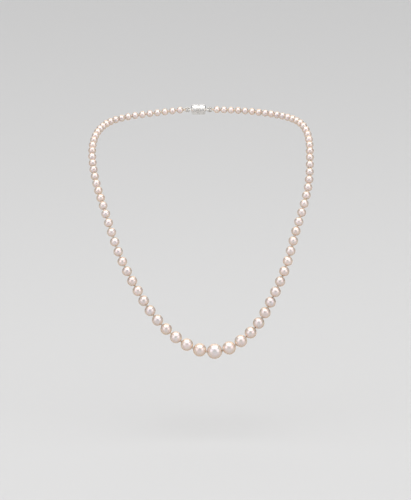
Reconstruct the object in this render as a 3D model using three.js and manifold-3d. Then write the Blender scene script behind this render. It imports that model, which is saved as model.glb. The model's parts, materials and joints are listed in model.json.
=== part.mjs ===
// A graduated pearl necklace, closed, hanging round a neck. Millimetres, +Z up.
// +X is the wearer's left, +Y runs from the chest to the nape. The origin is the silk knot
// at the middle of the front, beside the largest pearl, where the strand rests on the chest.
import * as THREE from 'three';
import { mergeVertices } from 'three/addons/utils/BufferGeometryUtils.js';
import Module from 'manifold-3d';

// Driving dimensions.
const END_PEARL = 3.3;
const GROWTH = 3.5;
const GROWTH_PEARLS = 16;
const CENTRE_GROWTH = 1.2;
const CENTRE_GROWTH_PEARLS = 0.9;
const PEARLS_PER_SIDE = 43;
const KNOT_SPACE_LEFT = 0.58;
const KNOT_SPACE_RIGHT = 0.45;
const BORE_RADIUS = 0.5;
const DRILL_OVERSHOOT = 0.5;
const SILK_RADIUS = 0.25;
const LOOP_SILK_RADIUS = 0.2;
const KNOT_RADIUS = 0.55;
const KNOT_HALF_LENGTH = 0.12;
const COLLAR_RADIUS = 0.7;
const SINGLE_PEARLS_LEFT = 17;
const SINGLE_PEARLS_RIGHT = 16;
const RUN_LENGTH = 4;
const BARREL_RADIUS = 2.75;
const BARREL_HALF_LENGTH = 3.9;
const DOME_LENGTH = 0.9;
const PLUG_MAGNET_SETBACK = 0.1;
const PARTING_GAP = 0.2;
const RECESS_RADIUS = 2.25;
const RECESS_DEPTH = 0.7;
const BOSS_RADIUS = 1.85;
const BOSS_LENGTH = 0.55;
const SOCKET_MAGNET_RADIUS = 1.6;
const PLUG_MAGNET_RADIUS = 1.2;
const MAGNET_LENGTH = 1.45;
const POCKET_CLEARANCE = 0.3;
const EYE_RADIUS = 1.15;
const EYE_WIRE_RADIUS = 0.35;
const EYE_SINK = 0.05;
const GIMP_RADIUS = 0.5;
const GIMP_BORE_RADIUS = 0.36;
const LOOP_CLEARANCE = 0.12;
const LEG_SETBACK = 0.85;
const LEG_SPREAD = 0.62;
const LEAD_SETBACK = 0.4;
const LEAD_SPREAD = 0.3;

// The strand's route, from the clasp's socket down the wearer's right side, across the chest
// and up the wearer's left side to the clasp's plug. In names, left and right are as seen from
// the front, so the left pearls lie towards -X.
const ORIGIN_POINT = 15;
const ROUTE = [
  [-12, 100.5, 110], [-25, 97.5, 109], [-40.5, 92, 108], [-51.5, 82, 107], [-58, 66, 104.5],
  [-60.5, 52, 99], [-60, 40.5, 91.5], [-58, 30.5, 83.5], [-54, 19, 73], [-50.5, 13, 63],
  [-45, 9, 48], [-36, 6, 31], [-27, 3.5, 17.5], [-17, 1.5, 8], [-7.5, 0.5, 2],
  [0, 0, 0], [8.5, 0, 0.5], [18, 0.5, 5.5], [27.5, 2, 15], [36.5, 4.5, 32],
  [42, 7.5, 45], [47, 12.5, 62.5], [51.5, 19, 76], [54, 28, 86.5], [54.5, 39.5, 97.5],
  [54, 51, 104.5], [51, 62.5, 109], [44, 75.5, 110.5], [31.5, 88, 110.5], [18.5, 95, 110.5],
  [3.5, 100.5, 110],
];

const nacre = { color: 0xe9d9d0, roughness: 0.25, metalness: 0.0 };
const silk = { color: 0xd9cbb8, roughness: 0.8, metalness: 0.0 };
const silver = { color: 0xd4d2cd, roughness: 0.22, metalness: 1.0 };
const steel = { color: 0xa9abad, roughness: 0.35, metalness: 1.0 };

const wasm = await Module();
wasm.setup();
const necklace = new THREE.Group();

function addPiece(name, geometry, finish) {
  const mesh = new THREE.Mesh(geometry, new THREE.MeshStandardMaterial(finish));
  mesh.name = name;
  necklace.add(mesh);
  return mesh;
}

function toSolid(geometry) {
  const bare = geometry.clone();
  bare.deleteAttribute('normal');
  bare.deleteAttribute('uv');
  const merged = mergeVertices(bare, 1e-4);
  const vertProperties = new Float32Array(merged.attributes.position.array);
  const triVerts = new Uint32Array(merged.index.array);
  return new wasm.Manifold(new wasm.Mesh({ numProp: 3, vertProperties, triVerts }));
}

function toGeometry(solid) {
  const mesh = solid.getMesh();
  const geometry = new THREE.BufferGeometry();
  geometry.setAttribute('position', new THREE.BufferAttribute(mesh.vertProperties, 3));
  geometry.setIndex(new THREE.BufferAttribute(mesh.triVerts, 1));
  return geometry;
}

// A path through given points whose section is scaled by one radius at each point.
class RingPath extends THREE.Curve {
  constructor(rings) {
    super();
    this.rings = rings;
  }

  getUtoTmapping(u) {
    return u;
  }

  getPoint(t, target = new THREE.Vector3()) {
    const last = this.rings.length - 1;
    const place = Math.min(Math.max(t, 0), 1) * last;
    const i = Math.min(Math.floor(place), last - 1);
    return target.lerpVectors(this.rings[i].at, this.rings[i + 1].at, place - i);
  }

  computeFrenetFrames(segments, closed) {
    const frames = super.computeFrenetFrames(segments, closed);
    this.rings.forEach((ring, i) => {
      frames.normals[i].multiplyScalar(ring.radius);
      frames.binormals[i].multiplyScalar(ring.radius);
    });
    return frames;
  }
}

function polygon(sides, radius, PathClass) {
  const outline = [];
  for (let i = 0; i < sides; i += 1) {
    const angle = (2 * Math.PI * i) / sides;
    outline.push(new THREE.Vector2(radius * Math.cos(angle), radius * Math.sin(angle)));
  }
  return new PathClass(outline);
}

// A swept solid through rings of { at, radius }, with an optional hole of hole x radius.
function sweep(rings, sides, hole = 0) {
  const section = polygon(sides, 1, THREE.Shape);
  if (hole > 0) section.holes.push(polygon(sides, hole, THREE.Path));
  const extrudePath = new RingPath(rings);
  return new THREE.ExtrudeGeometry(section, { steps: rings.length - 1, extrudePath });
}

function pearlDiameter(n) {
  const slow = GROWTH * Math.exp(-n / GROWTH_PEARLS);
  const quick = CENTRE_GROWTH * Math.exp(-n / CENTRE_GROWTH_PEARLS);
  return END_PEARL + slow + quick;
}

// Knots stand a pearl and a knot space apart, measured straight, along the route.
function walkKnots(samples, spacings) {
  const knots = [samples[0].clone()];
  let i = 0;
  for (const spacing of spacings) {
    const from = knots[knots.length - 1];
    while (i < samples.length - 2 && samples[i + 1].distanceTo(from) < spacing) i += 1;
    let low = 0;
    let high = 1;
    const at = new THREE.Vector3();
    for (let pass = 0; pass < 40; pass += 1) {
      const middle = (low + high) / 2;
      at.lerpVectors(samples[i], samples[i + 1], middle);
      if (at.distanceTo(from) < spacing) low = middle;
      else high = middle;
    }
    knots.push(at.clone());
  }
  return knots;
}

const SAMPLES_PER_POINT = 100;
const routePoints = ROUTE.map((p) => new THREE.Vector3(...p));
const route = new THREE.CatmullRomCurve3(routePoints, false, 'catmullrom', 0.5);
const samples = route.getPoints((ROUTE.length - 1) * SAMPLES_PER_POINT);
const originSample = ORIGIN_POINT * SAMPLES_PER_POINT;

// Every pearl is { side, n, diameter, from, to }: from is its knot nearer the middle of the front.
function makeSide(side, firstPearl, knotSpace, sideSamples) {
  const diameters = [];
  for (let n = firstPearl; n <= PEARLS_PER_SIDE; n += 1) diameters.push(pearlDiameter(n));
  const knots = walkKnots(sideSamples, diameters.map((d) => d + knotSpace));
  return diameters.map((diameter, i) => (
    { side, n: firstPearl + i, diameter, from: knots[i], to: knots[i + 1] }
  ));
}

const leftSide = makeSide('left', 1, KNOT_SPACE_LEFT, samples.slice(0, originSample + 1).reverse());
const rightSide = makeSide('right', 0, KNOT_SPACE_RIGHT, samples.slice(originSample));

function along(a, b, distance) {
  return new THREE.Vector3().subVectors(b, a).setLength(distance).add(a);
}

// One drilled pearl, turned about its bore.
function addSinglePearl(name, pearl) {
  const radius = pearl.diameter / 2;
  const mouth = Math.asin(BORE_RADIUS / radius);
  const bands = 6;
  const profile = [];
  for (let i = 0; i <= bands; i += 1) {
    const angle = mouth + ((Math.PI - 2 * mouth) * i) / bands;
    profile.push(new THREE.Vector2(radius * Math.sin(angle), -radius * Math.cos(angle)));
  }
  profile.push(profile[0].clone());
  const mesh = addPiece(name, new THREE.LatheGeometry(profile, 10), nacre);
  mesh.position.lerpVectors(pearl.from, pearl.to, 0.5);
  const bore = new THREE.Vector3().subVectors(pearl.to, pearl.from).normalize();
  mesh.quaternion.setFromUnitVectors(new THREE.Vector3(0, 1, 0), bore);
}

// Small pearls strung in a row as one body: beads joined by the knots between, drilled through.
function addPearlRun(name, pearls) {
  const rings = [];
  for (const pearl of pearls) {
    const radius = pearl.diameter / 2;
    const mouth = Math.asin(COLLAR_RADIUS / radius);
    const bands = 4;
    const middle = new THREE.Vector3().lerpVectors(pearl.from, pearl.to, 0.5);
    const bore = new THREE.Vector3().subVectors(pearl.to, pearl.from).normalize();
    for (let i = 0; i <= bands; i += 1) {
      const angle = mouth + ((Math.PI - 2 * mouth) * i) / bands;
      const at = middle.clone().addScaledVector(bore, -radius * Math.cos(angle));
      rings.push({ at, radius: radius * Math.sin(angle) });
    }
  }
  const first = pearls[0];
  const last = pearls[pearls.length - 1];
  const firstLength = first.to.distanceTo(first.from);
  const lastLength = last.to.distanceTo(last.from);
  const line = [
    along(first.to, first.from, firstLength + DRILL_OVERSHOOT),
    ...pearls.slice(1).map((pearl) => pearl.from),
    along(last.from, last.to, lastLength + DRILL_OVERSHOOT),
  ];
  const drill = line.map((at) => ({ at, radius: BORE_RADIUS }));
  const beads = toSolid(sweep(rings, 8)).subtract(toSolid(sweep(drill, 8)));
  addPiece(name, toGeometry(beads), nacre);
}

function twoDigits(n) {
  return String(n).padStart(2, '0');
}

function addSidePearls(pearls, singles) {
  for (const pearl of pearls.slice(0, singles)) {
    addSinglePearl(`pearl_${pearl.side}_${twoDigits(pearl.n)}`, pearl);
  }
  for (let i = singles; i < pearls.length; i += RUN_LENGTH) {
    const run = pearls.slice(i, i + RUN_LENGTH);
    const span = `${twoDigits(run[0].n)}_${twoDigits(run[run.length - 1].n)}`;
    addPearlRun(`pearls_${run[0].side}_${span}`, run);
  }
}
addSinglePearl('pearl_centre', rightSide[0]);
addSidePearls(leftSide, SINGLE_PEARLS_LEFT);
addSidePearls(rightSide.slice(1), SINGLE_PEARLS_RIGHT);

// The clasp lies straight between the two last knots. s runs along it, from socket to plug.
const socketKnot = leftSide[leftSide.length - 1].to;
const plugKnot = rightSide[rightSide.length - 1].to;
const claspMiddle = new THREE.Vector3().lerpVectors(socketKnot, plugKnot, 0.5);
const claspAxis = new THREE.Vector3().subVectors(plugKnot, socketKnot).normalize();
const up = new THREE.Vector3(0, 0, 1);
const eyeNormal = up.clone().addScaledVector(claspAxis, -up.dot(claspAxis)).normalize();
const across = new THREE.Vector3().crossVectors(claspAxis, eyeNormal);
const claspFrame = new THREE.Matrix4().makeBasis(across, claspAxis, eyeNormal).setPosition(claspMiddle);
const knotDistance = socketKnot.distanceTo(plugKnot) / 2;

// A turned piece from { r, s } corners, listed once round; dir is -1 on the socket and 1 on the plug.
function turned(corners, dir, segments) {
  const profile = corners.map(([r, s]) => new THREE.Vector2(r, dir * s));
  if (dir < 0) profile.reverse();
  return new THREE.LatheGeometry(profile, segments);
}

const EYE_CENTRE = BARREL_HALF_LENGTH + EYE_RADIUS - EYE_WIRE_RADIUS - EYE_SINK;
const EYE_WIRE_CENTRE = EYE_CENTRE + EYE_RADIUS;

function addClaspShell(name, corners, dir) {
  const shell = toSolid(turned(corners, dir, 20));
  const ring = new THREE.TorusGeometry(EYE_RADIUS, EYE_WIRE_RADIUS, 6, 14);
  ring.translate(0, dir * EYE_CENTRE, 0);
  const mesh = addPiece(name, toGeometry(shell.add(toSolid(ring))), silver);
  mesh.applyMatrix4(claspFrame);
}

function addMagnet(name, radius, start, dir) {
  const disc = new THREE.CylinderGeometry(radius, radius, MAGNET_LENGTH, 16);
  disc.translate(0, dir * (start + MAGNET_LENGTH / 2), 0);
  addPiece(name, disc, steel).applyMatrix4(claspFrame);
}

const domeRim = 0.55 * BARREL_RADIUS;
const domeShoulder = 0.9 * BARREL_RADIUS;
const outside = [
  [BARREL_RADIUS, BARREL_HALF_LENGTH - DOME_LENGTH],
  [domeShoulder, BARREL_HALF_LENGTH - 0.4 * DOME_LENGTH],
  [domeRim, BARREL_HALF_LENGTH - 0.1 * DOME_LENGTH],
  [0, BARREL_HALF_LENGTH],
];
const socketPocket = SOCKET_MAGNET_RADIUS + POCKET_CLEARANCE;
const socketMagnetStart = RECESS_DEPTH + POCKET_CLEARANCE;
const socketFloor = socketMagnetStart + MAGNET_LENGTH + POCKET_CLEARANCE;
addClaspShell('clasp_socket', [
  [0, socketFloor], [socketPocket, socketFloor], [socketPocket, RECESS_DEPTH],
  [RECESS_RADIUS, RECESS_DEPTH], [RECESS_RADIUS, 0], [BARREL_RADIUS, 0], ...outside,
], -1);
addMagnet('socket_magnet', SOCKET_MAGNET_RADIUS, socketMagnetStart, -1);

const bossEnd = PARTING_GAP - BOSS_LENGTH;
const plugPocket = PLUG_MAGNET_RADIUS + POCKET_CLEARANCE;
const plugMagnetStart = bossEnd + PLUG_MAGNET_SETBACK;
const plugFloor = plugMagnetStart + MAGNET_LENGTH + POCKET_CLEARANCE;
addClaspShell('clasp_plug', [
  [0, plugFloor], [plugPocket, plugFloor], [plugPocket, bossEnd], [BOSS_RADIUS, bossEnd],
  [BOSS_RADIUS, PARTING_GAP], [BARREL_RADIUS, PARTING_GAP], ...outside,
], 1);
addMagnet('plug_magnet', PLUG_MAGNET_RADIUS, plugMagnetStart, 1);

// The silk's end loop goes through the clasp's eye in a sleeve of fine coiled wire.
const LOOP_RADIUS = EYE_WIRE_RADIUS + GIMP_RADIUS + LOOP_CLEARANCE;
const legEnd = knotDistance - LEG_SETBACK;
function loopCentreline(dir) {
  const points = [[legEnd, -LEG_SPREAD]];
  const arcPoints = 6;
  for (let i = 0; i <= arcPoints; i += 1) {
    const angle = -Math.PI / 2 + (Math.PI * i) / arcPoints;
    points.push([EYE_WIRE_CENTRE - LOOP_RADIUS * Math.cos(angle), LOOP_RADIUS * Math.sin(angle)]);
  }
  points.push([legEnd, LEG_SPREAD]);
  return points.map(([s, n]) => new THREE.Vector3(0, dir * s, n).applyMatrix4(claspFrame));
}

function addGimp(name, dir) {
  const rings = loopCentreline(dir).map((at) => ({ at, radius: GIMP_RADIUS }));
  addPiece(name, sweep(rings, 8, GIMP_BORE_RADIUS / GIMP_RADIUS), silver);
}
addGimp('gimp_socket', -1);
addGimp('gimp_plug', 1);

// The silk: one thread from loop to loop through every bore, with a knot at each gap that shows.
function knotRings(before, knot, after) {
  return [
    { at: along(knot, before, KNOT_HALF_LENGTH), radius: SILK_RADIUS },
    { at: knot, radius: KNOT_RADIUS },
    { at: along(knot, after, KNOT_HALF_LENGTH), radius: SILK_RADIUS },
  ];
}

function endLoop(dir) {
  const rings = loopCentreline(dir).reverse().map((at) => ({ at, radius: LOOP_SILK_RADIUS }));
  const lead = new THREE.Vector3(0, dir * (knotDistance - LEAD_SETBACK), -LEAD_SPREAD);
  rings.push({ at: lead.applyMatrix4(claspFrame), radius: LOOP_SILK_RADIUS });
  return rings;
}

function sideRings(pearls, singles) {
  const rings = [];
  pearls.forEach((pearl, i) => {
    const next = pearls[i + 1];
    const insideRun = i >= singles && (i - singles) % RUN_LENGTH !== RUN_LENGTH - 1;
    if (next && insideRun) rings.push({ at: pearl.to, radius: SILK_RADIUS });
    else rings.push(...knotRings(pearl.from, pearl.to, next ? next.to : claspMiddle));
  });
  return rings;
}

const silkRings = [
  ...endLoop(-1),
  ...sideRings(leftSide, SINGLE_PEARLS_LEFT).reverse(),
  ...knotRings(leftSide[0].to, leftSide[0].from, rightSide[0].to),
  ...sideRings(rightSide, SINGLE_PEARLS_RIGHT + 1),
  ...endLoop(1).reverse(),
];
addPiece('silk_thread', sweep(silkRings, 8), silk);

export default necklace;
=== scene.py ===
import json
import math
import random

import bmesh
import bpy
import numpy as np
from mathutils import Matrix, Vector, noise


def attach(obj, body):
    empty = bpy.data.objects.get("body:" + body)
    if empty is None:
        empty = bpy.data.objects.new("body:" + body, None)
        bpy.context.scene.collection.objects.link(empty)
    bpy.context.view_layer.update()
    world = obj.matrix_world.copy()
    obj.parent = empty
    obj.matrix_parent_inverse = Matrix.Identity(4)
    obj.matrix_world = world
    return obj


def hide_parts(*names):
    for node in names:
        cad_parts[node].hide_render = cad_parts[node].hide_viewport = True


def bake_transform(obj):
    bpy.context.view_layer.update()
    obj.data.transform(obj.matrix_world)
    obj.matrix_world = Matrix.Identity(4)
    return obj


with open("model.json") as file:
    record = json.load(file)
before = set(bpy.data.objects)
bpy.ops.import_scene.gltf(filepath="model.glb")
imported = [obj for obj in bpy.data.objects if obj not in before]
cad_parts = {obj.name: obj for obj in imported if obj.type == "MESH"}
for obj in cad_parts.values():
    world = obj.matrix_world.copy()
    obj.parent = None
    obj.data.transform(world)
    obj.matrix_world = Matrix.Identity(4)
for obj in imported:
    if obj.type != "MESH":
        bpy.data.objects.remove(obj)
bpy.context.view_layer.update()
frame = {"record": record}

# ---------------------------------------------------------------- sizes, in metres
MM = 0.001
END_PEARL, GROWTH, GROWTH_PEARLS = 3.3, 3.5, 16
CENTRE_GROWTH, CENTRE_GROWTH_PEARLS = 1.2, 0.9
PEARLS_PER_SIDE = 43
KNOT_SPACE_LEFT, KNOT_SPACE_RIGHT = 0.58 * MM, 0.45 * MM
SINGLE_PEARLS_LEFT, SINGLE_PEARLS_RIGHT = 17, 16
RUN_LENGTH = 4
DRILL_RADIUS = 0.4 * MM
DRILL_WALL_SHARE, DRILL_LIP_SHARE = 0.93, 1.12
DRILL_WALL_INSET = 0.05 * MM
FINE_MESH_PEARLS = 16
THREAD_RADIUS, THREAD_SIDES = 0.25 * MM, 9
PLIES, PLY_DEPTH = 3, 0.14
TWIST_PER_METRE = 2 * math.pi / (1.6 * MM)
KNOT_TWIST_PER_METRE = TWIST_PER_METRE * 1.3
KNOT_RING, KNOT_SWING, KNOT_RISE = 0.31 * MM, 0.13 * MM, 0.10 * MM
KNOT_THREAD_RADIUS, KNOT_STEPS = 0.16 * MM, 54
KNOT_PHASE_STEP, JOINT_KNOT_PHASE = 1.7, 0.4
STUB_LENGTH, STUB_SPACING = 1.2 * MM, 0.2 * MM

BARREL_RADIUS, BARREL_HALF_LENGTH, DOME_LENGTH = 2.75 * MM, 3.9 * MM, 0.9 * MM
PARTING_GAP = 0.2 * MM
RECESS_RADIUS, RECESS_DEPTH = 2.25 * MM, 0.7 * MM
BOSS_RADIUS, BOSS_LENGTH = 1.85 * MM, 0.55 * MM
SOCKET_MAGNET_RADIUS, PLUG_MAGNET_RADIUS, MAGNET_LENGTH = 1.6 * MM, 1.2 * MM, 1.45 * MM
POCKET_CLEARANCE = 0.3 * MM
PLUG_MAGNET_SETBACK = 0.1 * MM
EDGE_RADIUS = 0.12 * MM
SHELL_SEGMENTS, MAGNET_SEGMENTS = 144, 64
SHOULDER = BARREL_HALF_LENGTH - DOME_LENGTH
BEAD_RADIUS, BEAD_SINK, BEAD_GROOVE = 0.16 * MM, 0.10 * MM, 0.05 * MM
FIRST_BEAD, LAST_BEAD = 0.42 * MM, 0.22 * MM
BAND_MARGIN, BAND_SINK = 0.09 * MM, 0.04 * MM
DOME_SINK = 0.02 * MM
FLUTES, FLUTE_DEPTH = 24, 0.10 * MM
FLUTE_START, FLUTE_END = 0.62 * MM, SHOULDER - LAST_BEAD - 0.25 * MM
FLUTED_ABOVE = BARREL_RADIUS - 0.06 * MM
EYE_RADIUS, EYE_WIRE_RADIUS = 1.15 * MM, 0.35 * MM
EYE_SINK = 0.05 * MM
EYE_STEPS, EYE_SIDES = 56, 20
GIMP_RADIUS, GIMP_WIRE_RADIUS = 0.5 * MM, 0.065 * MM
GIMP_PITCH, GIMP_STEPS_PER_TURN = 2.1 * GIMP_WIRE_RADIUS, 14
LOOP_SILK_RADIUS, LOOP_SPACING = 0.22 * MM, 0.15 * MM
LOOP_CLEARANCE = 0.12 * MM
LEG_SPREAD, LEG_SETBACK = 0.62 * MM, 0.85 * MM
LEAD_SPREAD, LEAD_SETBACK = 0.3 * MM, 0.4 * MM
LOOP_TIP_SETBACK = 0.1 * MM

# The strand's route in millimetres.
ORIGIN_POINT = 15
SAMPLES_PER_POINT = 100
ROUTE = [
    (-12, 100.5, 110), (-25, 97.5, 109), (-40.5, 92, 108), (-51.5, 82, 107), (-58, 66, 104.5),
    (-60.5, 52, 99), (-60, 40.5, 91.5), (-58, 30.5, 83.5), (-54, 19, 73), (-50.5, 13, 63),
    (-45, 9, 48), (-36, 6, 31), (-27, 3.5, 17.5), (-17, 1.5, 8), (-7.5, 0.5, 2),
    (0, 0, 0), (8.5, 0, 0.5), (18, 0.5, 5.5), (27.5, 2, 15), (36.5, 4.5, 32),
    (42, 7.5, 45), (47, 12.5, 62.5), (51.5, 19, 76), (54, 28, 86.5), (54.5, 39.5, 97.5),
    (54, 51, 104.5), (51, 62.5, 109), (44, 75.5, 110.5), (31.5, 88, 110.5), (18.5, 95, 110.5),
    (3.5, 100.5, 110),
]


# ---------------------------------------------------------------- camera, lights, floor
VIEW_ELEVATION = math.radians(12)
CAMERA_DISTANCE = 5.0
FRAME_HEIGHT = 0.263
SENSOR = 36.0
AIM_ACROSS, AIM_UP = -0.6 * MM, 53.5 * MM
LIGHT_AIM = (0, 0.045, 0.05)


def add_camera():
    data = bpy.data.cameras.new("camera")
    data.sensor_width = SENSOR
    data.lens = SENSOR * CAMERA_DISTANCE / FRAME_HEIGHT
    data.clip_start, data.clip_end = 0.05, 50.0
    camera = bpy.data.objects.new("camera", data)
    bpy.context.scene.collection.objects.link(camera)
    up = Vector((0, math.sin(VIEW_ELEVATION), math.cos(VIEW_ELEVATION)))
    toward = Vector((0, math.cos(VIEW_ELEVATION), -math.sin(VIEW_ELEVATION)))
    target = Vector((AIM_ACROSS, 0, 0)) + up * AIM_UP
    camera.location = target - toward * CAMERA_DISTANCE
    camera.rotation_euler = (math.pi / 2 - VIEW_ELEVATION, 0, 0)
    bpy.context.scene.camera = camera


def add_softbox(name, place, size, power, colour=(1, 1, 1)):
    data = bpy.data.lights.new(name, "AREA")
    data.shape = "RECTANGLE"
    data.size, data.size_y = size
    data.energy = power
    data.color = colour
    light = bpy.data.objects.new(name, data)
    bpy.context.scene.collection.objects.link(light)
    light.location = place
    toward = Vector(LIGHT_AIM) - Vector(place)
    light.rotation_euler = toward.to_track_quat("-Z", "Y").to_euler()
    light.visible_camera = False


def add_studio():
    """Soft light all round, with a dark gap at the camera that each pearl mirrors in its middle."""
    scene = bpy.context.scene
    scene.view_settings.view_transform = "Standard"
    world = bpy.data.worlds.new("studio")
    world.use_nodes = True
    back = world.node_tree.nodes["Background"]
    back.inputs["Color"].default_value = (0.95, 0.96, 1.0, 1)
    back.inputs["Strength"].default_value = 0.22
    scene.world = world
    add_softbox("overhead_softbox", (0.0, -0.15, 1.6), (2.6, 2.1), 37)
    cool, warm = (0.96, 0.97, 1.0), (1.0, 0.985, 0.965)
    add_softbox("front_left", (-1.94, -1.42, 0.80), (2.30, 1.80), 18, cool)
    add_softbox("front_right", (1.94, -1.42, 0.80), (2.30, 1.80), 18, warm)
    add_softbox("front_high", (0.0, -2.0, 1.90), (2.4, 0.50), 3.6)
    add_softbox("front_low", (0.0, -2.3, 0.05), (2.1, 0.16), 1.1)
    add_softbox("back_fill", (0.0, 2.4, 1.3), (3.0, 1.5), 20)


FLOOR_HEIGHT = -0.042
FLOOR_HALF_SIDE = 6.0


def add_floor():
    mesh = bpy.data.meshes.new("studio_floor")
    half = FLOOR_HALF_SIDE
    corners = [(-half, -half), (half, -half), (half, half), (-half, half)]
    mesh.from_pydata([(x, y, FLOOR_HEIGHT) for x, y in corners], [], [(0, 1, 2, 3)])
    floor = bpy.data.objects.new("studio_floor", mesh)
    bpy.context.scene.collection.objects.link(floor)
    material = bpy.data.materials.new("floor")
    material.use_nodes = True
    shader = material.node_tree.nodes["Principled BSDF"]
    shader.inputs["Base Color"].default_value = (0.56, 0.557, 0.552, 1)
    shader.inputs["Roughness"].default_value = 0.9
    mesh.materials.append(material)


# ---------------------------------------------------------------- node helpers
class Nodes:
    """Short names for building a material's node tree."""

    def __init__(self, name):
        self.material = bpy.data.materials.new(name)
        self.material.use_nodes = True
        self.tree = self.material.node_tree
        self.shader = self.tree.nodes["Principled BSDF"]

    def add(self, kind, **settings):
        node = self.tree.nodes.new("ShaderNode" + kind)
        for key, value in settings.items():
            setattr(node, key, value)
        return node

    def set(self, node, **values):
        for key, value in values.items():
            node.inputs[key.replace("_", " ")].default_value = value

    def link(self, out, into):
        self.tree.links.new(out, into)

    def coords(self):
        return self.add("TexCoord").outputs["Object"]

    def noise(self, scale, detail, rough, vector=None):
        node = self.add("TexNoise")
        self.set(node, Scale=scale, Detail=detail, Roughness=rough)
        self.link(vector or self.coords(), node.inputs["Vector"])
        return node.outputs["Fac"]

    def ramp(self, fac, stops):
        node = self.add("ValToRGB")
        elements = node.color_ramp.elements
        while len(elements) < len(stops):
            elements.new(0.5)
        for element, (place, colour) in zip(elements, stops):
            element.position = place
            element.color = (*colour, 1)
        self.link(fac, node.inputs["Fac"])
        return node.outputs["Color"]

    def to_range(self, fac, low, high, start=0.3, stop=0.7):
        """Low where fac is start or less, high where it is stop or more."""
        node = self.add("MapRange")
        node.inputs["From Min"].default_value = start
        node.inputs["From Max"].default_value = stop
        node.inputs["To Min"].default_value = low
        node.inputs["To Max"].default_value = high
        self.link(fac, node.inputs["Value"])
        return node.outputs["Result"]

    def mix(self, fac, a, b, blend="MIX"):
        node = self.add("Mix", data_type="RGBA", blend_type=blend)
        for value, socket in ((fac, node.inputs[0]), (a, node.inputs[6]), (b, node.inputs[7])):
            if isinstance(value, bpy.types.NodeSocket):
                self.link(value, socket)
            elif isinstance(value, (int, float)):
                socket.default_value = value
            else:
                socket.default_value = (*value, 1)
        return node.outputs[2]

    def bump(self, *layers):
        """Bumps on bumps, each layer as (height, strength, distance in metres)."""
        last = None
        for height, strength, distance in layers:
            node = self.add("Bump")
            node.inputs["Strength"].default_value = strength
            node.inputs["Distance"].default_value = distance
            self.link(height, node.inputs["Height"])
            if last is not None:
                self.link(last, node.inputs["Normal"])
            last = node.outputs["Normal"]
        self.link(last, self.shader.inputs["Normal"])


# ---------------------------------------------------------------- materials
def make_nacre():
    """A rose-white lustre under a coat that absorbs more towards the rim, which turns it tan."""
    n = Nodes("nacre")
    s = n.shader
    n.set(s, Metallic=0.42, IOR=1.6, Specular_IOR_Level=0.9, Coat_Weight=1.0, Coat_Roughness=0.3)
    n.set(s, Coat_IOR=1.03, Coat_Tint=(0.94, 0.87, 0.80, 1), Subsurface_Weight=0.15)
    n.set(s, Subsurface_Scale=0.0010, Subsurface_Radius=(1.0, 0.62, 0.45))
    n.set(s, Thin_Film_Thickness=300.0, Thin_Film_IOR=1.40)
    tone = n.add("Attribute", attribute_name="tone")
    clouds = n.noise(210.0, 2.0, 0.5)
    cream, rose, cool = (0.85, 0.82, 0.81), (0.87, 0.85, 0.86), (0.85, 0.85, 0.87)
    blush = n.ramp(clouds, [(0.30, cream), (0.52, rose), (0.72, cool)])
    toned = n.mix(1.0, blush, tone.outputs["Color"], "MULTIPLY")
    flecks = n.to_range(n.noise(900.0, 4.0, 0.6), 0.0, 0.14, 0.48, 0.75)
    n.link(n.mix(flecks, toned, (0.66, 0.58, 0.52)), s.inputs["Base Color"])
    n.link(n.to_range(n.noise(380.0, 3.0, 0.55), 0.18, 0.24), s.inputs["Roughness"])
    layers = n.add("TexWave", wave_type="RINGS", rings_direction="SPHERICAL")
    n.set(layers, Scale=160.0, Distortion=14.0, Detail=3.0, Detail_Scale=2.0)
    n.link(n.coords(), layers.inputs["Vector"])
    n.bump(
        (n.noise(650.0, 2.0, 0.5), 0.30, 0.00003),
        (layers.outputs["Fac"], 0.10, 0.00001),
        (n.noise(5200.0, 2.0, 0.5), 0.08, 0.000006),
    )
    return n.material


def make_silk():
    """Pale silk, mottled and a little fibrous, with the sheen of its fibres."""
    n = Nodes("silk")
    s = n.shader
    n.set(s, Roughness=0.78, IOR=1.45, Specular_IOR_Level=0.35, Sheen_Weight=0.45, Sheen_Roughness=0.4)
    n.set(s, Sheen_Tint=(1.0, 0.93, 0.82, 1), Subsurface_Weight=0.10, Subsurface_Scale=0.0003)
    shade, light = (0.80, 0.69, 0.56), (0.88, 0.79, 0.67)
    mottled = n.ramp(n.noise(2600.0, 4.0, 0.6), [(0.3, shade), (0.7, light)])
    fibres = n.to_range(n.noise(14000.0, 2.0, 0.6), 0.0, 0.35)
    n.link(n.mix(fibres, mottled, (0.66, 0.55, 0.42)), s.inputs["Base Color"])
    n.bump((n.noise(16000.0, 2.0, 0.6), 0.5, 0.00002))
    return n.material


def make_metal(name, colour, dark, rough):
    """Metal that is darker in the hollows of a fine stain, with hairline scratches."""
    n = Nodes(name)
    s = n.shader
    n.set(s, Metallic=1.0, IOR=1.5, Specular_IOR_Level=0.5)
    stain = n.to_range(n.noise(900.0, 5.0, 0.6), 0.0, 0.45, 0.45, 0.75)
    n.link(n.mix(stain, colour, dark), s.inputs["Base Color"])
    n.link(n.to_range(n.noise(2400.0, 5.0, 0.65), rough[0], rough[1]), s.inputs["Roughness"])
    stretch = n.add("Mapping")
    stretch.inputs["Scale"].default_value = (300.0, 9000.0, 9000.0)
    n.link(n.coords(), stretch.inputs["Vector"])
    hair = n.noise(1.0, 3.0, 0.6, stretch.outputs["Vector"])
    n.bump((hair, 0.12, 0.00001), (n.noise(1500.0, 2.0, 0.5), 0.15, 0.00001))
    return n.material


# ---------------------------------------------------------------- the strand's places
def pearl_diameter(n):
    slow = GROWTH * math.exp(-n / GROWTH_PEARLS)
    quick = CENTRE_GROWTH * math.exp(-n / CENTRE_GROWTH_PEARLS)
    return (END_PEARL + slow + quick) * MM


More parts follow.
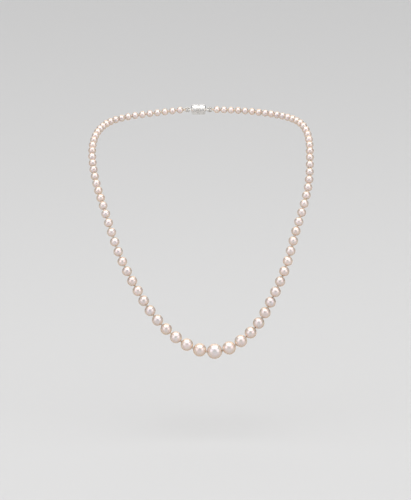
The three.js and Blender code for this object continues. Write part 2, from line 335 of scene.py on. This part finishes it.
def route_samples():
    """The Catmull-Rom curve through ROUTE, sampled evenly between its points."""
    points = [Vector(p) * MM for p in ROUTE]
    points = [points[0] * 2 - points[1], *points, points[-1] * 2 - points[-2]]
    samples = []
    for i in range(1, len(points) - 2):
        before, a, b, after = points[i - 1 : i + 3]
        out, into = (b - before) / 2, (after - a) / 2
        for k in range(SAMPLES_PER_POINT):
            t = k / SAMPLES_PER_POINT
            cubic = (a - b) * 2 + out + into
            square = (b - a) * 3 - out * 2 - into
            samples.append(((cubic * t + square) * t + out) * t + a)
    samples.append(points[-2].copy())
    return samples


def walk_knots(samples, spacings):
    """Knots stand a pearl and a knot space apart, measured straight, along the route."""
    knots = [samples[0].copy()]
    i = 0
    for spacing in spacings:
        start = knots[-1]
        while i < len(samples) - 2 and (samples[i + 1] - start).length < spacing:
            i += 1
        low, high = 0.0, 1.0
        for _ in range(40):
            middle = (low + high) / 2
            at = samples[i].lerp(samples[i + 1], middle)
            if (at - start).length < spacing:
                low = middle
            else:
                high = middle
        knots.append(at)
    return knots


def make_side(side, first, knot_space, samples):
    numbers = range(first, PEARLS_PER_SIDE + 1)
    knots = walk_knots(samples, [pearl_diameter(n) + knot_space for n in numbers])
    return [
        {"side": side, "n": n, "diameter": pearl_diameter(n), "from": a, "to": b}
        for n, a, b in zip(numbers, knots, knots[1:])
    ]


samples = route_samples()
origin_sample = ORIGIN_POINT * SAMPLES_PER_POINT
left_side = make_side("left", 1, KNOT_SPACE_LEFT, samples[origin_sample::-1])
right_side = make_side("right", 0, KNOT_SPACE_RIGHT, samples[origin_sample:])


def cad_node_of(pearl):
    """The CAD node that holds a pearl: its own, or a run of small pearls."""
    side, n = pearl["side"], pearl["n"]
    if n == 0:
        return "pearl_centre"
    singles = SINGLE_PEARLS_LEFT if side == "left" else SINGLE_PEARLS_RIGHT
    if n <= singles:
        return f"pearl_{side}_{n:02d}"
    first = n - (n - singles - 1) % RUN_LENGTH
    last = min(first + RUN_LENGTH - 1, PEARLS_PER_SIDE)
    return f"pearls_{side}_{first:02d}_{last:02d}"


body_of_node = {n: b for b, nodes in frame["record"]["behaviour"]["bodies"].items() for n in nodes}


def body_of_pearl(pearl):
    return body_of_node[cad_node_of(pearl)]


# ---------------------------------------------------------------- mesh helpers
def add_piece(name, verts, faces, material, body, replaces):
    mesh = bpy.data.meshes.new(name)
    mesh.from_pydata([tuple(v) for v in verts], [], faces)
    mesh.validate()
    mesh.materials.append(material)
    mesh.polygons.foreach_set("use_smooth", [True] * len(mesh.polygons))
    piece = bpy.data.objects.new(name, mesh)
    bpy.context.scene.collection.objects.link(piece)
    if body:
        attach(piece, body)
    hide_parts(*replaces)
    return piece


def ring_faces(rings, segments, start=0, closed=False):
    """Quads between rings of vertices; closed joins the last ring to the first."""
    faces = []
    last = rings if closed else rings - 1
    for i in range(last):
        a, b = start + i * segments, start + (i + 1) % rings * segments
        for k in range(segments):
            m = (k + 1) % segments
            faces.append((a + k, a + m, b + m, b + k))
    return faces


def tube(points, radius, segments, start=0, closed=False, plies=0, twist=0.0):
    """A tube through points, turned as little as possible, with the twist of a plied thread."""
    points = [Vector(p) for p in points]
    count = len(points)
    verts = []
    normal = None
    travelled = 0.0
    for i, p in enumerate(points):
        ahead = points[(i + 1) % count] if closed or i < count - 1 else p
        behind = points[i - 1] if closed or i > 0 else p
        tangent = (ahead - behind).normalized()
        if normal is None:
            axis = min(((abs(tangent[k]), k) for k in range(3)))[1]
            normal = Vector([1.0 if k == axis else 0.0 for k in range(3)])
        normal = (normal - tangent * normal.dot(tangent)).normalized()
        side = tangent.cross(normal)
        travelled += (p - behind).length if i else 0.0
        for k in range(segments):
            angle = 2 * math.pi * k / segments
            wave = math.cos(plies * (angle + travelled * twist)) if plies else 0.0
            r = radius * (1 + PLY_DEPTH * (wave - 1))
            verts.append(p + (normal * math.cos(angle) + side * math.sin(angle)) * r)
    faces = ring_faces(count, segments, start, closed)
    if not closed:
        faces.append(tuple(start + k for k in reversed(range(segments))))
        faces.append(tuple(start + (count - 1) * segments + k for k in range(segments)))
    return verts, faces


# ---------------------------------------------------------------- pearls
def pearl_shape(pearl, rng):
    """How one pearl differs from a ball: off-round stretch, soft bumps and shallow pits."""
    def direction():
        z, a = rng.uniform(-1, 1), rng.uniform(0, 2 * math.pi)
        s = math.sqrt(1 - z * z)
        return np.array([s * math.cos(a), s * math.sin(a), z])

    stretch = [(direction(), rng.uniform(-0.010, 0.010)) for _ in range(2)]
    pits = [
        (direction(), rng.uniform(0.10, 0.20), rng.uniform(0.003, 0.008))
        for _ in range(rng.choice([0, 1, 2, 3]))
    ]
    shift = Vector([rng.uniform(0, 50) for _ in range(3)])

    def radius_share(d):
        r = 0.997
        for axis, amount in stretch:
            r += amount * ((d @ axis) ** 2 - 1 / 3)
        broad = 0.006 * noise.noise(Vector(d) * 1.6 + shift)
        fine = 0.0025 * noise.noise(Vector(d) * 4.0 + shift)
        r += broad + fine
        for axis, width, depth in pits:
            r -= depth * math.exp(-(2 - 2 * (d @ axis)) / width**2)
        return r

    return radius_share


def on_ball(angle, around):
    """A unit vector, angle from the bore's -Z end and around it."""
    across = math.sin(angle)
    return np.array([across * math.cos(around), across * math.sin(around), -math.cos(angle)])


def add_pearl(pearl, material):
    """A drilled pearl: latitude rings from one mouth of the bore to the other, and the bore's wall."""
    side, n = pearl["side"], pearl["n"]
    rng = random.Random(1000 * (side == "right") + n)
    radius = pearl["diameter"] / 2
    segments, rings = (64, 44) if n <= FINE_MESH_PEARLS else (48, 34)
    share = pearl_shape(pearl, rng)
    middle = (pearl["from"] + pearl["to"]) / 2
    bore = (pearl["to"] - pearl["from"]).normalized()
    turn = Vector((0, 0, 1)).rotation_difference(bore).to_matrix()
    mouth = math.asin(DRILL_RADIUS / radius)
    lip = math.asin(DRILL_RADIUS * DRILL_LIP_SHARE / radius)
    angles = [mouth, lip]
    angles += [lip + (math.pi - 2 * lip) * i / rings for i in range(1, rings)]
    angles += [math.pi - lip, math.pi - mouth]
    turns = [2 * math.pi * k / segments for k in range(segments)]
    verts = []
    for angle in angles:
        for around in turns:
            d = on_ball(angle, around)
            verts.append(Vector(d) * (radius * share(d)))
    wall = DRILL_RADIUS * DRILL_WALL_SHARE
    depth = math.sqrt(radius**2 - wall**2) - DRILL_WALL_INSET
    for z in (depth, 0.0, -depth):
        verts += [Vector((wall * math.cos(around), wall * math.sin(around), z)) for around in turns]
    faces = ring_faces(len(angles) + 3, segments, closed=True)
    verts = [middle + turn @ v for v in verts]
    name = "nacre_pearl_centre" if n == 0 else f"nacre_pearl_{side}_{n:02d}"
    body, replaced = body_of_pearl(pearl), [cad_node_of(pearl)]
    piece = add_piece(name, verts, faces, material, body, replaced)
    warmth, light = rng.uniform(-0.018, 0.022), rng.uniform(0.95, 1.03)
    colour = (light * (1 + warmth), light, light * (1 - 1.3 * warmth), 1.0)
    tone = piece.data.attributes.new("tone", "FLOAT_COLOR", "POINT")
    tone.data.foreach_set("color", np.tile(colour, len(piece.data.vertices)).astype(np.float32))


# ---------------------------------------------------------------- silk
def knot_mesh(at, along, start, phase):
    """A tight overhand knot: a trefoil of plied thread, flattened between two pearls."""
    turn = Vector((0, 0, 1)).rotation_difference(along).to_matrix()
    points = []
    for i in range(KNOT_STEPS):
        t = 2 * math.pi * i / KNOT_STEPS
        out = KNOT_RING + KNOT_SWING * math.cos(3 * t)
        around = 2 * t + phase
        height = KNOT_RISE * math.sin(3 * t)
        flat = Vector((out * math.cos(around), out * math.sin(around), height))
        points.append(at + turn @ flat)
    radius, twist = KNOT_THREAD_RADIUS, KNOT_TWIST_PER_METRE
    return tube(points, radius, THREAD_SIDES, start, closed=True, plies=PLIES, twist=twist)


def straight_points(a, b, spacing=0.45 * MM):
    count = max(2, int((b - a).length / spacing) + 1)
    return [a.lerp(b, i / (count - 1)) for i in range(count)]


def thread_mesh(points, radius=THREAD_RADIUS):
    return tube(points, radius, THREAD_SIDES, plies=PLIES, twist=TWIST_PER_METRE)


def add_thread_pieces(pearls, material):
    """The thread through one body's pearls, with the knots inside that body."""
    by_body = {}
    for pearl in pearls:
        by_body.setdefault(body_of_pearl(pearl), []).append(pearl)
    for body, members in by_body.items():
        first, last = members[0], members[-1]
        bends = [first["from"] + (first["to"] - first["from"]).normalized() * STUB_LENGTH]
        bends += [p["from"] for p in members[1:]]
        bends.append(last["to"] + (last["from"] - last["to"]).normalized() * STUB_LENGTH)
        points = []
        for a, b in zip(bends, bends[1:]):
            points += straight_points(a, b)[: None if b is bends[-1] else -1]
        verts, faces = thread_mesh(points)
        for i, pearl in enumerate(members[1:]):
            along = (pearl["to"] - members[i]["from"]).normalized()
            phase = KNOT_PHASE_STEP * i
            more, more_faces = knot_mesh(pearl["from"], along, len(verts), phase)
            verts += more
            faces += more_faces
        add_piece(f"silk_{body}", verts, faces, material, body, ["silk_thread"])


def add_joint_knot(name, knot, before, after, material):
    """A knot at a joint, with its two stubs in the bores, bending from one body to the next."""
    a, b = (before - knot).normalized(), (after - knot).normalized()
    points = straight_points(knot + a * STUB_LENGTH, knot, STUB_SPACING)[:-1]
    points += straight_points(knot, knot + b * STUB_LENGTH, STUB_SPACING)
    verts, faces = thread_mesh(points)
    along = (b - a).normalized()
    more, more_faces = knot_mesh(knot, along, len(verts), JOINT_KNOT_PHASE)
    piece = add_piece(name, verts + more, faces + more_faces, material, None, ["silk_thread"])
    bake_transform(piece)


def add_joint_knots(pearls, clasp_body, material):
    for pearl, following in zip(pearls, pearls[1:]):
        bodies = body_of_pearl(pearl), body_of_pearl(following)
        if bodies[0] != bodies[1]:
            name = f"silk_knot_{pearl['side']}_{pearl['n']:02d}"
            add_joint_knot(name, pearl["to"], pearl["from"], following["to"], material)
    last = pearls[-1]
    bodies = body_of_pearl(last), clasp_body
    name = f"silk_knot_{last['side']}_{last['n']:02d}"
    add_joint_knot(name, last["to"], last["from"], clasp_middle, material)


# ---------------------------------------------------------------- clasp
socket_knot, plug_knot = left_side[-1]["to"], right_side[-1]["to"]
clasp_middle = (socket_knot + plug_knot) / 2
knot_distance = (plug_knot - socket_knot).length / 2
clasp_axis = (plug_knot - socket_knot).normalized()
eye_normal = (Vector((0, 0, 1)) - clasp_axis * clasp_axis.z).normalized()
across = clasp_axis.cross(eye_normal)
clasp_turn = Matrix((across, clasp_axis, eye_normal)).transposed().to_4x4()
clasp_frame = Matrix.Translation(clasp_middle) @ clasp_turn
EYE_CENTRE = BARREL_HALF_LENGTH + EYE_RADIUS - EYE_WIRE_RADIUS - EYE_SINK
EYE_WIRE_CENTRE = EYE_CENTRE + EYE_RADIUS
LOOP_RADIUS = EYE_WIRE_RADIUS + GIMP_RADIUS + LOOP_CLEARANCE
leg_end = knot_distance - LEG_SETBACK


def arc(centre, radius, start, stop, count):
    """Points of an arc in the plane of (radius, length along the clasp)."""
    return [
        (centre[0] + radius * math.cos(a), centre[1] + radius * math.sin(a))
        for a in (start + (stop - start) * i / (count - 1) for i in range(count))
    ]


def flute_cut(radius, length, angle, start):
    """How deep the flutes, which begin at start, cut the barrel at a place on it."""
    if not start < length < FLUTE_END or radius <= FLUTED_ABOVE:
        return 0.0
    fade = math.sin(math.pi * (length - start) / (FLUTE_END - start)) ** 0.25
    return FLUTE_DEPTH * fade * (0.5 - 0.5 * math.cos(FLUTES * angle)) ** 2


def turned_mesh(corners, dir, segments, flute_start=None):
    """A closed turned shape. corners are (radius, length) from one end of the axis to the other."""
    verts, faces = [], []
    rings = []
    for r, s in corners:
        if r < 1e-9:
            rings.append([len(verts)])
            verts.append(clasp_frame @ Vector((0, dir * s, 0)))
            continue
        ring = []
        for k in range(segments):
            angle = 2 * math.pi * k / segments
            fluted = r
            if flute_start is not None:
                fluted -= flute_cut(r, s, angle, flute_start)
            place = Vector((fluted * math.cos(angle), dir * s, fluted * math.sin(angle)))
            ring.append(len(verts))
            verts.append(clasp_frame @ place)
        rings.append(ring)
    for a, b in zip(rings, rings[1:]):
        for k in range(segments):
            m = (k + 1) % segments
            if len(a) == 1:
                face = (a[0], b[m], b[k])
            elif len(b) == 1:
                face = (a[k], a[m], b[0])
            else:
                face = (a[k], a[m], b[m], b[k])
            faces.append(face if dir > 0 else face[::-1])
    return verts, faces


def bead_profile(centre):
    """A fine half-round bead on the barrel, with a narrow groove on each side of it."""
    radius = BARREL_RADIUS - BEAD_SINK
    bead = arc((radius, centre), BEAD_RADIUS, -math.pi / 2, math.pi / 2, 7)
    before = (radius, centre - BEAD_RADIUS - BEAD_GROOVE)
    return [before, *bead, (radius, centre + BEAD_RADIUS + BEAD_GROOVE)]


def outer_profile(face):
    """The barrel's outside, from its open end at face to the tip of the dome, with two fine beads."""
    edge_centre = (BARREL_RADIUS - EDGE_RADIUS, face + EDGE_RADIUS)
    profile = [(BARREL_RADIUS - EDGE_RADIUS, face)]
    profile += arc(edge_centre, EDGE_RADIUS, -math.pi / 2, 0, 4)[1:]
    first_bead, last_bead = face + FIRST_BEAD, SHOULDER - LAST_BEAD
    profile += bead_profile(first_bead)
    low = first_bead + BEAD_RADIUS + BAND_MARGIN
    high = last_bead - BEAD_RADIUS - BAND_MARGIN
    profile += [(BARREL_RADIUS - BAND_SINK, low + (high - low) * i / 8) for i in range(9)]
    profile += bead_profile(last_bead)
    dome_radius = BARREL_RADIUS - DOME_SINK
    profile.append((dome_radius, SHOULDER))
    for i in range(1, 12):
        angle = math.pi / 2 * i / 12
        length = SHOULDER + DOME_LENGTH * math.sin(angle)
        profile.append((dome_radius * math.cos(angle) ** 0.6, length))
    profile.append((0.0, BARREL_HALF_LENGTH))
    return profile


def recalculate_normals(mesh):
    work = bmesh.new()
    work.from_mesh(mesh)
    bmesh.ops.recalc_face_normals(work, faces=work.faces)
    work.to_mesh(mesh)
    work.free()


def add_shell(name, corners, flute_start, dir, material, body, node):
    """A clasp shell: the turned barrel and its wire eye, joined as one solid."""
    verts, faces = turned_mesh(corners, dir, SHELL_SEGMENTS, flute_start)
    shell = add_piece(name, verts, faces, material, body, [node])
    ring = []
    for i in range(EYE_STEPS):
        angle = 2 * math.pi * i / EYE_STEPS
        along = EYE_CENTRE + EYE_RADIUS * math.cos(angle)
        ring.append(clasp_frame @ Vector((EYE_RADIUS * math.sin(angle), dir * along, 0)))
    eye_verts, eye_faces = tube(ring, EYE_WIRE_RADIUS, EYE_SIDES, closed=True)
    mesh = bpy.data.meshes.new("eye")
    mesh.from_pydata([tuple(v) for v in eye_verts], [], eye_faces)
    eye = bpy.data.objects.new("eye", mesh)
    bpy.context.scene.collection.objects.link(eye)
    recalculate_normals(shell.data)
    recalculate_normals(mesh)
    join = shell.modifiers.new("join", "BOOLEAN")
    join.operation, join.object, join.solver = "UNION", eye, "EXACT"
    graph = bpy.context.evaluated_depsgraph_get()
    made = bpy.data.meshes.new_from_object(shell.evaluated_get(graph))
    shell.modifiers.clear()
    shell.data = made
    shell.data.polygons.foreach_set("use_smooth", [True] * len(made.polygons))
    shell.data.set_sharp_from_angle(angle=math.radians(38))
    bpy.data.objects.remove(eye)


def add_magnet(name, radius, start, dir, material, body):
    edge, quarter = EDGE_RADIUS, math.pi / 2
    end = start + MAGNET_LENGTH
    corners = [(0.0, start), (radius - edge, start)]
    corners += arc((radius - edge, start + edge), edge, -quarter, 0, 5)[1:]
    corners += arc((radius - edge, end - edge), edge, 0, quarter, 5)
    corners.append((0.0, end))
    verts, faces = turned_mesh(corners, dir, MAGNET_SEGMENTS)
    replaced = [f"{name}_magnet"]
    piece = add_piece(f"nickel_magnet_{name}", verts, faces, material, body, replaced)
    recalculate_normals(piece.data)
    piece.data.set_sharp_from_angle(angle=math.radians(40))


def add_clasp(silver, nickel):
    """Both shells, each turned from its magnet's pocket out to the dome, and the magnets."""
    rim, chamfer, bevel = 0.08 * MM, 0.05 * MM, 0.1 * MM
    socket_start = RECESS_DEPTH + POCKET_CLEARANCE
    pocket = SOCKET_MAGNET_RADIUS + POCKET_CLEARANCE
    floor = socket_start + MAGNET_LENGTH + POCKET_CLEARANCE
    inside = [(0.0, floor), (pocket, floor), (pocket, RECESS_DEPTH), (RECESS_RADIUS, RECESS_DEPTH)]
    inside += [(RECESS_RADIUS, rim), (RECESS_RADIUS + rim, 0.0)]
    corners = inside + outer_profile(0.0)
    body = "clasp_socket_half"
    add_shell("silver_socket", corners, FLUTE_START, -1, silver, body, "clasp_socket")

    boss_end = PARTING_GAP - BOSS_LENGTH
    plug_start = boss_end + PLUG_MAGNET_SETBACK
    pocket = PLUG_MAGNET_RADIUS + POCKET_CLEARANCE
    floor = plug_start + MAGNET_LENGTH + POCKET_CLEARANCE
    inside = [(0.0, floor), (pocket, floor)]
    inside += [(pocket, boss_end + chamfer), (pocket + chamfer, boss_end)]
    inside += [(BOSS_RADIUS - bevel, boss_end), (BOSS_RADIUS, boss_end + bevel)]
    inside.append((BOSS_RADIUS, PARTING_GAP))
    corners = inside + outer_profile(PARTING_GAP)
    start, body = FLUTE_START + PARTING_GAP, "clasp_plug_half"
    add_shell("silver_plug", corners, start, 1, silver, body, "clasp_plug")

    add_magnet("socket", SOCKET_MAGNET_RADIUS, socket_start, -1, nickel, "clasp_socket_half")
    add_magnet("plug", PLUG_MAGNET_RADIUS, plug_start, 1, nickel, "clasp_plug_half")


def loop_centreline(dir):
    """The end loop's middle line: in beside the knot, round the eye's wire, and back."""
    points = []
    straight, count = 10, 40
    for i in range(straight):
        t = i / straight
        spread = LEG_SPREAD + (LOOP_RADIUS - LEG_SPREAD) * math.sin(t * math.pi / 2)
        points.append((leg_end + (EYE_WIRE_CENTRE - leg_end) * t, -spread))
    for i in range(count + 1):
        angle = -math.pi / 2 + math.pi * i / count
        points.append((EYE_WIRE_CENTRE - LOOP_RADIUS * math.cos(angle), LOOP_RADIUS * math.sin(angle)))
    points += [(s, -n) for s, n in reversed(points[:straight])]
    return [clasp_frame @ Vector((0, dir * s, n)) for s, n in points]


def even_points(points, spacing):
    """The same line with its points a fixed distance apart."""
    made = [points[0]]
    left = spacing
    for a, b in zip(points, points[1:]):
        length = (b - a).length
        while left <= length:
            made.append(a.lerp(b, left / length))
            left += spacing
        left -= length
    return made


def coil_points(line, radius, pitch, per_turn):
    """A helix of fine wire round a line."""
    points = []
    normal = None
    spacing = pitch / per_turn
    line = even_points(line, spacing)
    for i, p in enumerate(line):
        tangent = (line[min(i + 1, len(line) - 1)] - line[max(i - 1, 0)]).normalized()
        if normal is None:
            normal = tangent.orthogonal().normalized()
        normal = (normal - tangent * normal.dot(tangent)).normalized()
        angle = 2 * math.pi * i / per_turn
        points.append(p + (normal * math.cos(angle) + tangent.cross(normal) * math.sin(angle)) * radius)
    return points


def add_end_loop(name, dir, body, wire, silk):
    """An end of the silk: the gimp's coil of fine wire round it, and the loop it makes."""
    line = loop_centreline(dir)
    coil_radius = GIMP_RADIUS - GIMP_WIRE_RADIUS
    coil = coil_points(line, coil_radius, GIMP_PITCH, GIMP_STEPS_PER_TURN)
    verts, faces = tube(coil, GIMP_WIRE_RADIUS, 6)
    add_piece(f"gimp_coil_{name}", verts, faces, wire, body, [f"gimp_{name}"])

    def place(setback, n):
        return clasp_frame @ Vector((0, dir * (knot_distance - setback), n))

    tip = place(LOOP_TIP_SETBACK, 0)
    out, back = place(LEAD_SETBACK, -LEAD_SPREAD), place(LEAD_SETBACK, LEAD_SPREAD)
    points = [tip, out, *line, back, tip]
    verts, faces = thread_mesh(even_points(points, LOOP_SPACING), LOOP_SILK_RADIUS)
    add_piece(f"silk_loop_{name}", verts, faces, silk, body, ["silk_thread"])


# ---------------------------------------------------------------- build
add_camera()
add_studio()
add_floor()
nacre = make_nacre()
silk = make_silk()
silver = make_metal("silver", (0.82, 0.80, 0.77), (0.42, 0.39, 0.35), (0.12, 0.25))
nickel = make_metal("nickel", (0.66, 0.65, 0.63), (0.48, 0.47, 0.46), (0.22, 0.36))
wire = make_metal("wire", (0.84, 0.82, 0.78), (0.42, 0.38, 0.33), (0.18, 0.34))

for pearl in left_side + right_side:
    add_pearl(pearl, nacre)
first_left = dict(left_side[0], **{"from": left_side[0]["to"], "to": left_side[0]["from"]})
add_thread_pieces([first_left, right_side[0]], silk)
add_thread_pieces(left_side[1:], silk)
add_thread_pieces(right_side[1:], silk)
add_joint_knots(left_side, "clasp_socket_half", silk)
add_joint_knots(right_side, "clasp_plug_half", silk)
add_clasp(silver, nickel)
add_end_loop("socket", -1, "clasp_socket_half", wire, silk)
add_end_loop("plug", 1, "clasp_plug_half", wire, silk)
